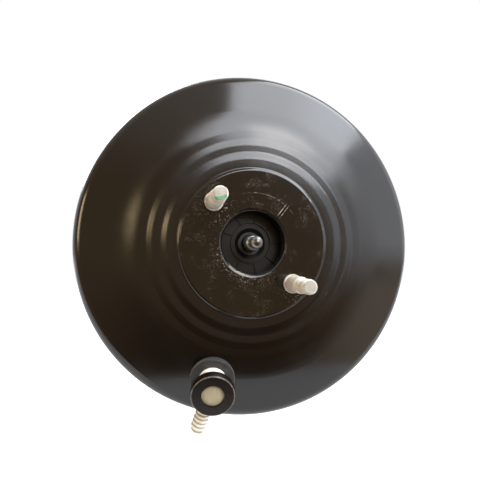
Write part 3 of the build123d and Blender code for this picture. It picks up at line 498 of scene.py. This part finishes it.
def mouldedRubber(name, colour, dusty):
    # matt rubber with bloom and settled dust
    matt = {"Specular IOR Level": 0.35, "Sheen Weight": 0.15, "Sheen Roughness": 0.5}
    finish = Finish(name, matt)
    grain = finish.noise(1400, 4.0, 0.6)
    cloud = finish.noise(130, 5.0, 0.7)
    crumbs = finish.specks(1300, 0.32) * cloud.rise(0.42, 0.66)
    bloom = (cloud.rise(0.36, 0.72) * 0.55).most(crumbs) * dusty
    finish.feed("Base Color", finish.mix(colour, (0.21, 0.20, 0.18), bloom))
    finish.feed("Roughness", 0.55 + bloom * 0.3 + grain * 0.08)
    finish.bump(grain * 0.6 + crumbs * 0.4, 0.00006, 0.6)
    return finish


def naturalNylon(name, colour, deep, streak):
    # milky natural nylon: light goes a little way in, and flow lines run across it
    milky = {
        "Subsurface Weight": 0.25,
        "Subsurface Radius": (0.004, 0.003, 0.002),
        "Subsurface Scale": 0.5,
        "Specular IOR Level": 0.5,
    }
    finish = Finish(name, milky)
    flow = finish.noise(240, 3.0, 0.6, stretch=streak)
    cloud = finish.noise(150, 3.0, 0.6)
    finish.feed("Base Color", finish.mix(colour, deep, flow.rise(0.38, 0.72) * 0.7 + cloud * 0.15))
    finish.feed("Roughness", 0.30 + cloud * 0.2)
    finish.bump(flow, 0.00003, 0.5)
    return finish


valve = {
    "seat": (-0.0277019, -0.0937741, -0.0966081),
    "axis": (-0.075976, -0.961262, -0.264960),
    "collarHeight": 0.0156,
    "collarFade": 0.0002,
    "black": (0.0052, 0.0036, 0.0030),
    "hoseHeight": 0.0096,
    "hoseAxis": (-0.264960, 0.275637, -0.924024),
    "hoseRoot": 0.0046,
    "hoseRib": 0.0053,
    "ribsStart": (0.013, 0.015),
    "hoseYellow": (0.012, 0.018),
    "grooveShadeAndTintColour": (0.30, 0.27, 0.20),
    "edgeRadius": 0.0144,
    "edgeWidth": (0.0001, 0.00045),
    "edgeHeight": (0.0214, 0.0220),
    "edgeHighlightColour": (0.16, 0.13, 0.10),
}


def alongAxis(finish, start, way):
    # distance along an axis from its start, and distance from the axis
    kind = "ShaderNodeVectorMath"
    spot = finish.node(kind, {"operation": "SUBTRACT"}, {0: finish.place(), 1: start})
    reach = finish.node(kind, {"operation": "DOT_PRODUCT"}, {0: spot, 1: way}, out=1)
    span = finish.node(kind, {"operation": "LENGTH"}, {0: spot}, out=1)
    return reach, (span * span - reach * reach).most(0) ** 0.5


def valveNylon():
    # the nylon body, with the black collar that its cap is welded to, and painted shade in the
    # grooves of its hose tail
    finish = naturalNylon("valveNylon", (0.74, 0.73, 0.66), (0.60, 0.57, 0.46), (1.0, 1.0, 0.35))
    height = alongAxis(finish, valve["seat"], valve["axis"])[0]
    pale = Wire(finish, finish.shader.inputs["Base Color"].links[0].from_socket)
    tailStart = tuple(s + a * valve["hoseHeight"] for s, a in zip(valve["seat"], valve["axis"]))
    reach, radius = alongAxis(finish, tailStart, valve["hoseAxis"])
    # painted shade: darker between the hose tail's ribs; the tail's far end also takes a little of
    # the same colour
    grooveShade = 1 - radius.rise(valve["hoseRoot"], valve["hoseRib"])
    grooveShade = grooveShade * reach.rise(*valve["ribsStart"])
    shade = grooveShade * 0.85 + reach.rise(*valve["hoseYellow"]) * 0.12
    pale = finish.mix(pale, valve["grooveShadeAndTintColour"], shade)
    collar = height.rise(valve["collarHeight"], valve["collarHeight"] + valve["collarFade"])
    finish.feed("Base Color", finish.mix(pale, valve["black"], collar))
    return finish


def valveCap():
    # smooth black cap with a painted highlight: a light line all round the edge of its face
    finish = mouldedPlastic("valveCap", (0.0040, 0.0028, 0.0022), 0.24, 0.04, 0.28)
    height, radius = alongAxis(finish, valve["seat"], valve["axis"])
    dark = Wire(finish, finish.shader.inputs["Base Color"].links[0].from_socket)
    # painted highlight: a thin light line at the cap face's outer edge, broken up by noise
    edgeHighlight = 1 - abs(radius - valve["edgeRadius"]).rise(*valve["edgeWidth"])
    edgeHighlight = edgeHighlight * height.rise(*valve["edgeHeight"])
    patchy = finish.noise(500, 4.0, 0.7).rise(0.3, 0.62)
    finish.feed("Base Color", finish.mix(dark, valve["edgeHighlightColour"], edgeHighlight * patchy * 0.8))
    return finish


def pressedFelt(name, colour, fibre):
    # felt or foam: tangled fibres, deep enough to shade
    fluffy = {"Sheen Weight": 0.4, "Sheen Roughness": 0.6, "Specular IOR Level": 0.2}
    finish = Finish(name, fluffy)
    tangle = finish.noise(fibre, 6.0, 0.75)
    pores = finish.specks(fibre * 0.7, 0.5)
    dark = tuple(c * 0.35 for c in colour)
    finish.feed("Base Color", finish.mix(colour, dark, tangle.rise(0.42, 0.66)))
    finish.feed("Roughness", 0.85 + tangle * 0.12)
    finish.bump(tangle * 0.7 + pores * 0.3, 0.0005, 0.8)
    return finish


floorLook = {
    "near": ((0.60, 0.60, 0.60), (0.56, 0.56, 0.57)),
    "far": (0.90, 0.90, 0.90),
    "farFade": (-0.05, 0.5),
}


def paleFloor():
    # matt and pale; paler still behind the booster, which is painted light that makes up for the
    # lamps' light falling off farther back
    finish = Finish("paleFloor", {"Roughness": 0.85})
    depth = finish.parts(finish.place())[1]
    near = finish.mix(*floorLook["near"], finish.noise(1.5, 3.0))
    # painted light: the floor's colour brightens with depth
    faded = depth.rise(*floorLook["farFade"])
    finish.feed("Base Color", finish.mix(near, floorLook["far"], faded))
    return finish


shellPaint = paintedSteel("rearShellPaint")
bossPaint = frontPaint()
stud = studZinc()
zinc = zincPlate("zincPlate", (0.28, 0.275, 0.25), (0.165, 0.16, 0.145))
brightZinc = screwSteel()
plate = plainSteel("plateSteel", (0.36, 0.35, 0.34), 0.35)
springWire = plainSteel("springWire", (0.16, 0.16, 0.17), 0.32)
phosphate = plainSteel("phosphatedSteel", (0.045, 0.055, 0.065), 0.42, 0.6)
guidePlastic = mouldedPlastic("guidePlastic", (0.0020, 0.0015, 0.0010), 0.30, 0.05, 0.28)
pistonPlastic = mouldedPlastic("pistonPlastic", (0.016, 0.015, 0.014), 0.48)
capPlastic = valveCap()
grommetRubber = mouldedRubber("grommetRubber", (0.0055, 0.0054, 0.0050), 0.19)
sealRubber = mouldedRubber("sealRubber", (0.012, 0.012, 0.012), 0.12)
bootRubber = mouldedRubber("bootRubber", (0.014, 0.014, 0.014), 0.30)
ivory = valveNylon()
plugIvory = naturalNylon(
    "plugNylon", (0.31, 0.28, 0.19), (0.23, 0.20, 0.12), (6.0, 1.0, 0.35)
)
felt = pressedFelt("airFelt", (0.40, 0.38, 0.33), 1500)
foam = pressedFelt("silencerFoam", (0.05, 0.05, 0.05), 1100)

finishOfNode = {
    "front_shell": bossPaint,
    "rear_shell": shellPaint,
    "front_plate": plate,
    "rear_plate": plate,
    "master_cylinder_studs": stud,
    "firewall_studs": zinc,
    "front_guide": guidePlastic,
    "rod_seal": sealRubber,
    "diaphragm": sealRubber,
    "support_plate": plate,
    "power_piston": pistonPlastic,
    "stop_key": plate,
    "reaction_disc": sealRubber,
    "output_rod": phosphate,
    "adjusting_screw": brightZinc,
    "rod_clip": plate,
    "valve_plunger": plate,
    "poppet": sealRubber,
    "poppet_retainer": plate,
    "return_spring": springWire,
    "poppet_spring": springWire,
    "rod_spring": springWire,
    "pedal_rod": zinc,
    "spring_cup": zinc,
    "lock_nut": zinc,
    "clevis": zinc,
    "air_filter": felt,
    "silencer_pad": foam,
    "filter_cage": pistonPlastic,
    "retaining_ring": springWire,
    "guide_bush": pistonPlastic,
    "hub_seal": sealRubber,
    "dust_boot": bootRubber,
    "valve_grommet": grommetRubber,
    "check_valve_body": ivory,
    "check_valve_cap": capPlastic,
    "check_valve_plug": plugIvory,
    "check_valve_disc": sealRubber,
    "disc_spring": springWire,
}
for name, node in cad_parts.items():
    node.data.materials.clear()
    node.data.materials.append(finishOfNode[name].material)
print("finishes on", len(finishOfNode), "nodes")

# New pieces. A profile is drawn in the X-Y plane as (radius, station) points, and most are
# spun round the Y axis. Vertices nearer than weld become one.

weld = 0.000002
threadShape = {"crestStart": 0.42, "crestEnd": 0.56, "footEnd": 0.94, "corner": 25.0}


def deselectAll():
    bpy.ops.object.select_all(action="DESELECT")


def pick(pieces):
    deselectAll()
    for piece in pieces:
        piece.select_set(True)
    bpy.context.view_layer.objects.active = pieces[0]


def drawProfile(name, points):
    # one vertex at the first point, extruded from point to point; left in edit mode
    deselectAll()
    bpy.ops.mesh.primitive_plane_add(size=0.002)
    piece = bpy.context.object
    piece.name = piece.data.name = name
    bpy.ops.object.mode_set(mode="EDIT")
    bpy.ops.mesh.select_all(action="SELECT")
    bpy.ops.mesh.merge(type="CENTER")
    bpy.ops.transform.translate(value=(*points[0], 0))
    for before, after in zip(points, points[1:]):
        step = (after[0] - before[0], after[1] - before[1], 0)
        bpy.ops.mesh.extrude_region_move(TRANSFORM_OT_translate={"value": step})
    bpy.ops.mesh.select_all(action="SELECT")
    return piece


def mergeAndClose():
    bpy.ops.mesh.select_all(action="SELECT")
    bpy.ops.mesh.remove_doubles(threshold=weld)
    bpy.ops.mesh.normals_make_consistent(inside=False)
    bpy.ops.object.mode_set(mode="OBJECT")


def smooth(piece, corner=38.0):
    pick([piece])
    bpy.ops.object.shade_smooth_by_angle(angle=radians(corner))


def turnedPiece(name, points, steps=72, corner=38.0):
    piece = drawProfile(name, points)
    bpy.ops.mesh.spin(steps=steps, angle=2 * pi, center=(0, 0, 0), axis=(0, 1, 0))
    mergeAndClose()
    smooth(piece, corner)
    return piece


def applyModifier(piece, kind, **settings):
    pick([piece])
    modifier = piece.modifiers.new(kind.title(), kind)
    for name, value in settings.items():
        setattr(modifier, name, value)
    bpy.ops.object.modifier_apply(modifier=modifier.name)


def sweptHelix(name, section, pitch, turns, steps):
    # the section goes up a helix round the Y axis, a pitch each turn
    piece = drawProfile(name, section)
    bpy.ops.object.mode_set(mode="OBJECT")
    applyModifier(
        piece, "SCREW", axis="Y", angle=2 * pi, screw_offset=pitch, iterations=turns,
        steps=steps, render_steps=steps, use_merge_vertices=True, merge_threshold=weld,
    )
    return piece


def threadOf(name, screw):
    # a V of one pitch, swept past both ends and cut square there
    root, crest, pitch = screw["root"], screw["crest"], screw["pitch"]
    low, high = screw["low"], screw["high"]
    turns = int((high - low) / pitch) + 3
    start = low - 1.5 * pitch
    section = [
        (root, start),
        (crest, start + threadShape["crestStart"] * pitch),
        (crest, start + threadShape["crestEnd"] * pitch),
        (root, start + threadShape["footEnd"] * pitch),
        (root, start + pitch),
    ]
    piece = sweptHelix(name, section, pitch, turns, screw["threadSteps"])
    bpy.ops.object.mode_set(mode="EDIT")
    for station, side in ((low, "clear_inner"), (high, "clear_outer")):
        bpy.ops.mesh.select_all(action="SELECT")
        bpy.ops.mesh.remove_doubles(threshold=weld)
        bpy.ops.mesh.bisect(
            plane_co=(0, station, 0), plane_no=(0, 1, 0), use_fill=True, **{side: True}
        )
    mergeAndClose()
    smooth(piece, threadShape["corner"])
    return piece


def joined(name, pieces):
    pick(pieces)
    bpy.ops.object.join()
    piece = bpy.context.object
    piece.name = piece.data.name = name
    return piece


def copiedTo(piece, places):
    # a copy with its own mesh at each place, joined into one piece
    copies = []
    for place in places:
        pick([piece])
        bpy.ops.object.duplicate(linked=False)
        bpy.ops.transform.translate(value=place)
        bpy.ops.object.transform_apply(location=True, rotation=True, scale=True)
        copies.append(bpy.context.object)
    name = piece.name
    bpy.data.objects.remove(piece)
    return joined(name, copies)


def roundWire(middle, wire, station, sides):
    # the wire's round section, closed
    corners = [2 * pi * side / sides for side in range(sides + 1)]
    half = wire / 2
    return [(middle + half * cos(corner), station + half * sin(corner)) for corner in corners]


def coilSpring(name, spring):
    # round wire swept up one even helix between its two seats
    climb = spring["high"] - spring["low"] - spring["wire"]
    whole = int(spring["turns"])
    share = spring["turns"] / whole
    steps = int(spring["steps"] * share)
    section = roundWire(spring["middle"], spring["wire"], 0, spring["sides"])
    piece = drawProfile(name, section)
    bpy.ops.mesh.remove_doubles(threshold=weld)
    bpy.ops.object.mode_set(mode="OBJECT")
    applyModifier(
        piece, "SCREW", axis="Y", angle=2 * pi * share, screw_offset=climb / whole,
        iterations=whole, steps=steps, render_steps=steps, use_merge_vertices=False,
    )
    bpy.ops.object.mode_set(mode="EDIT")
    bpy.ops.mesh.select_all(action="SELECT")
    bpy.ops.transform.translate(value=(0, spring["low"] + spring["wire"] / 2, 0))
    bpy.ops.mesh.select_all(action="DESELECT")
    bpy.ops.mesh.select_non_manifold()
    bpy.ops.mesh.fill_holes(sides=0)
    mergeAndClose()
    smooth(piece, 60.0)
    return piece


def dress(piece, finish, node):
    # the piece shows in place of the CAD node
    piece.data.materials.clear()
    piece.data.materials.append(finish.material)
    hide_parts(node)


masterStud = {
    "centres": ((-0.02899, 0, 0.02899), (0.02899, 0, -0.02899)),
    "outline": (
        (0, -0.0929), (0.0080, -0.0929), (0.0085, -0.0934), (0.0085, -0.0954),
        (0.0080, -0.0959), (0.0056, -0.0959), (0.0056, -0.0984), (0.0066, -0.0984),
        (0.0069, -0.0987), (0.0069, -0.1016), (0.0065, -0.1020), (0.0058, -0.1020),
        (0.0058, -0.1214), (0.0055, -0.1219), (0.0043, -0.1227), (0.0043, -0.1391),
        (0.0040, -0.1403), (0, -0.1403),
    ),
    "root": 0.00425,
    "crest": 0.0050,
    "pitch": 0.00125,
    "low": -0.1394,
    "high": -0.1223,
    "steps": 56,
    "threadSteps": 36,
}
studBody = turnedPiece("studBody", masterStud["outline"], masterStud["steps"])
studThread = threadOf("studThread", masterStud)
masterStuds = copiedTo(joined("masterStuds", [studBody, studThread]), masterStud["centres"])
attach(masterStuds, "shell")
dress(masterStuds, stud, "master_cylinder_studs")

firewallStud = {
    "centres": [(x * 0.035355, 0, z * 0.035355) for x in (-1, 1) for z in (-1, 1)],
    "outline": (
        (0, -0.0063), (0.0071, -0.0063), (0.0075, -0.0059), (0.0075, -0.0042),
        (0.0071, -0.0038), (0.0046, -0.0038), (0.0046, -0.0004), (0.0042, 0.0),
        (0.0033, 0.0004), (0.0033, 0.0242), (0.0030, 0.0250), (0, 0.0250),
    ),
    "root": 0.0033,
    "crest": 0.0040,
    "pitch": 0.00125,
    "low": 0.0003,
    "high": 0.0243,
    "steps": 48,
    "threadSteps": 28,
}
studBody = turnedPiece("studBody", firewallStud["outline"], firewallStud["steps"])
studThread = threadOf("studThread", firewallStud)
firewallStuds = copiedTo(joined("firewallStuds", [studBody, studThread]), firewallStud["centres"])
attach(firewallStuds, "shell")
dress(firewallStuds, zinc, "firewall_studs")

noseScrew = {
    "outline": (
        (0, -0.0798), (0.0027, -0.0798), (0.0030, -0.0801), (0.0030, -0.0918),
        (0.0043, -0.0918), (0.0043, -0.0988), (0.00445, -0.0992), (0.00445, -0.11005),
    ),
    "nose": 0.00445,
    "tip": -0.1145,
    "root": 0.0043,
    "crest": 0.0050,
    "pitch": 0.0010,
    "low": -0.0988,
    "high": -0.0920,
    "steps": 56,
    "threadSteps": 36,
}
nose, tip = noseScrew["nose"], noseScrew["tip"]
dome = [
    (nose * cos(radians(lean)), tip + nose * (1 - sin(radians(lean))))
    for lean in (9, 18, 27, 36, 45, 54, 63, 72, 81)
]
screwOutline = (*noseScrew["outline"], *dome, (0, tip))
screwBody = turnedPiece("screwBody", screwOutline, noseScrew["steps"])
screwThread = threadOf("screwThread", noseScrew)
adjustingScrew = joined("adjustingScrew", [screwBody, screwThread])
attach(adjustingScrew, "power_piston")
dress(adjustingScrew, brightZinc, "adjusting_screw")

inputRod = {
    "ball": 0.0046,
    "ballStation": 0.0088,
    "outline": (
        (0.0036, 0.01166), (0.0036, 0.0190), (0.0050, 0.0206), (0.0050, 0.0412),
        (0.0065, 0.0412), (0.0068, 0.0415), (0.0068, 0.0429), (0.0065, 0.0432),
        (0.0050, 0.0432), (0.0050, 0.0880), (0.00425, 0.0887), (0.00425, 0.1270),
        (0.0040, 0.1280), (0, 0.1280),
    ),
    "root": 0.00425,
    "crest": 0.0050,
    "pitch": 0.00125,
    "low": 0.0884,
    "high": 0.1271,
    "steps": 56,
    "threadSteps": 36,
}
size, station = inputRod["ball"], inputRod["ballStation"]
ball = [
    (size * sin(radians(lean)), station - size * cos(radians(lean)))
    for lean in (0, 12, 24, 36, 48, 60, 72, 84, 96, 108, 120)
]
rodBody = turnedPiece("rodBody", (*ball, *inputRod["outline"]), inputRod["steps"])
rodThread = threadOf("rodThread", inputRod)
pedalRod = joined("pedalRod", [rodBody, rodThread])
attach(pedalRod, "pedal_rod")
dress(pedalRod, zinc, "pedal_rod")
print("studs, adjusting screw and pedal rod turned and threaded")

boot = {
    "cuff": (
        (0.0285, 0.0070), (0.0307, 0.0070), (0.0311, 0.0074), (0.0311, 0.0088),
        (0.0305, 0.0092), (0.0305, 0.0112), (0.0311, 0.0116), (0.0311, 0.0128),
        (0.0304, 0.0144), (0.0288, 0.0144), (0.0285, 0.0140), (0.0285, 0.0070),
    ),
    "folds": (
        (0.0286, 0.0129), (0.0294, 0.0146), (0.0335, 0.0189), (0.0293, 0.0224),
        (0.0327, 0.0260), (0.0280, 0.0295), (0.0310, 0.0330), (0.0260, 0.0365),
        (0.0285, 0.0400), (0.0230, 0.0436), (0.0252, 0.0471), (0.0194, 0.0502),
        (0.0194, 0.0528),
    ),
    "roundness": 0.0018,
    "wall": 0.0014,
    "tailBead": (
        (0.0193, 0.0516), (0.0215, 0.0516), (0.0219, 0.0521), (0.0219, 0.0534),
        (0.0213, 0.0538), (0.0213, 0.0548), (0.0217, 0.0552), (0.0217, 0.0557),
        (0.0213, 0.0560), (0.0193, 0.0560), (0.0193, 0.0516),
    ),
    "anchor": 0.0140,
    "keep": 0.2857,
    "steps": 96,
    "corner": 50.0,
    "bendSegments": 6,
    "foldSteps": 112,
    "foldCorner": 60.0,
}
bootCuff = turnedPiece("bootCuff", boot["cuff"], boot["steps"], boot["corner"])
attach(bootCuff, "shell")
dress(bootCuff, bootRubber, "dust_boot")
bootTail = turnedPiece("bootTail", boot["tailBead"], boot["steps"], boot["corner"])
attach(bootTail, "power_piston")
dress(bootTail, bootRubber, "dust_boot")

bootFolds = drawProfile("bootFolds", boot["folds"])
bpy.ops.mesh.bevel(offset=boot["roundness"], segments=boot["bendSegments"], affect="VERTICES")
bpy.ops.mesh.select_all(action="SELECT")
bpy.ops.mesh.spin(steps=boot["foldSteps"], angle=2 * pi, center=(0, 0, 0), axis=(0, 1, 0))
mergeAndClose()
applyModifier(bootFolds, "SOLIDIFY", thickness=boot["wall"], offset=1.0, use_even_offset=True)
smooth(bootFolds, boot["foldCorner"])
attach(bootFolds, "shell")
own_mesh(bootFolds)
dress(bootFolds, bootRubber, "dust_boot")
print("boot folded")

pistonSpring = {
    "wire": 0.0036,
    "middle": 0.0292,
    "turns": 5.5,
    "low": -0.0939,
    "high": -0.0173,
    "sides": 14,
    "steps": 48,
}
seatSpring = {
    "wire": 0.0014,
    "middle": 0.0110,
    "turns": 4.0,
    "low": 0.0261,
    "high": 0.0399,
    "sides": 10,
    "steps": 40,
}
valveSpring = {
    "wire": 0.0009,
    "middle": 0.0080,
    "turns": 5.0,
    "low": 0.0172,
    "high": 0.0399,
    "sides": 8,
    "steps": 36,
}
discSpring = {
    "wire": 0.0007,
    "middle": 0.0040,
    "turns": 4.0,
    "low": 0.0069,
    "high": 0.0154,
    "sides": 8,
    "steps": 28,
}
for name, spring, low, high, node in (
    ("pistonReturnSpring", pistonSpring, "shell", "power_piston", "return_spring"),
    ("rodReturnSpring", seatSpring, "power_piston", "valve_plunger", "rod_spring"),
    ("poppetValveSpring", valveSpring, "power_piston", "valve_plunger", "poppet_spring"),
):
    wound = coilSpring(name, spring)
    dress(wound, springWire, node)
    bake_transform(wound)

# the check valve's own spring stands on the valve's axis, between its disc and its plug
wound = coilSpring("checkDiscSpring", discSpring)
wound.rotation_mode = "QUATERNION"
wound.rotation_quaternion = Vector(valve["axis"]).to_track_quat("Y", "Z")
wound.location = valve["seat"]
pick([wound])
bpy.ops.object.transform_apply(location=True, rotation=True, scale=True)
dress(wound, springWire, "disc_spring")
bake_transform(wound)

diaphragmSheet = {
    "rim": (
        (0.1250, -0.0378), (0.1250, -0.0415), (0.1244, -0.0428), (0.1240, -0.0428),
        (0.1233, -0.0411), (0.1227, -0.0443), (0.1208, -0.0471), (0.1181, -0.0489),
        (0.1149, -0.0495),
    ),
    "face": (
        (0.1149, -0.0495), (0.1117, -0.0489), (0.1090, -0.0471), (0.1071, -0.0443),
        (0.1065, -0.0411), (0.1065, -0.0262), (0.1052, -0.0239), (0.0690, -0.0090),
        (0.0640, -0.0070), (0.0193, -0.0070),
    ),
    "wall": 0.0020,
    "bead": (
        (0.1236, -0.0358), (0.1280, -0.0358), (0.1290, -0.0368), (0.1290, -0.0418),
        (0.1280, -0.0428), (0.1236, -0.0428), (0.1236, -0.0358),
    ),
    "foldFront": -0.0495,
    "ledge": -0.0428,
    "steps": 128,
    "corner": 50.0,
}
steps, corner = diaphragmSheet["steps"], diaphragmSheet["corner"]
rollBead = turnedPiece("diaphragmBead", diaphragmSheet["bead"], steps, corner)
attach(rollBead, "shell")
dress(rollBead, sealRubber, "diaphragm")
for part in ("rim", "face"):
    sheet = turnedPiece("diaphragm" + part.title(), diaphragmSheet[part], steps, corner)
    applyModifier(
        sheet, "SOLIDIFY", thickness=diaphragmSheet["wall"], offset=0.0, use_even_offset=True
    )
    smooth(sheet, corner)
    dress(sheet, sealRubber, "diaphragm")
    if part == "rim":
        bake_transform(sheet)
    else:
        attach(sheet, "power_piston")
print("springs wound, diaphragm rolled")

# the felt ring and the foam pad in the tail: soft corners and faces that swell a little
tailFilter = {
    "felt": (
        (0.0074, 0.0450), (0.0077, 0.0445), (0.0084, 0.04425), (0.0114, 0.0442),
        (0.0146, 0.04425), (0.0152, 0.0445), (0.0155, 0.0450), (0.0155, 0.0494),
        (0.0152, 0.0499), (0.0146, 0.05015), (0.0114, 0.0502), (0.0084, 0.05015),
        (0.0077, 0.0499), (0.0074, 0.0494), (0.0074, 0.0450),
    ),
    "foam": (
        (0.0074, 0.0510), (0.0076, 0.0506), (0.0082, 0.0503), (0.0114, 0.0502),
        (0.0148, 0.0503), (0.0153, 0.0506), (0.0155, 0.0510), (0.0155, 0.0534),
        (0.0153, 0.0538), (0.0148, 0.0541), (0.0114, 0.0542), (0.0082, 0.0541),
        (0.0076, 0.0538), (0.0074, 0.0534), (0.0074, 0.0510),
    ),
    "steps": 96,
    "corner": 60.0,
}
steps, corner = tailFilter["steps"], tailFilter["corner"]
feltRing = turnedPiece("feltRing", tailFilter["felt"], steps, corner)
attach(feltRing, "power_piston")
dress(feltRing, felt, "air_filter")
foamPad = turnedPiece("foamPad", tailFilter["foam"], steps, corner)
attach(foamPad, "power_piston")
dress(foamPad, foam, "silencer_pad")
print("filter and silencer pad in the tail")

bpy.ops.object.select_all(action="DESELECT")
bpy.ops.mesh.primitive_grid_add(x_subdivisions=8, y_subdivisions=8, size=1)
floor = bpy.context.object
floor.name = "studioFloor"
floor.dimensions = (studio["floorWidth"], studio["floorBack"] - studio["floorFront"], 0)
floor.location = (0, (studio["floorBack"] + studio["floorFront"]) / 2, studio["floorHeight"])
bpy.ops.object.transform_apply(location=True, rotation=True, scale=True)
floor.data.materials.append(paleFloor().material)
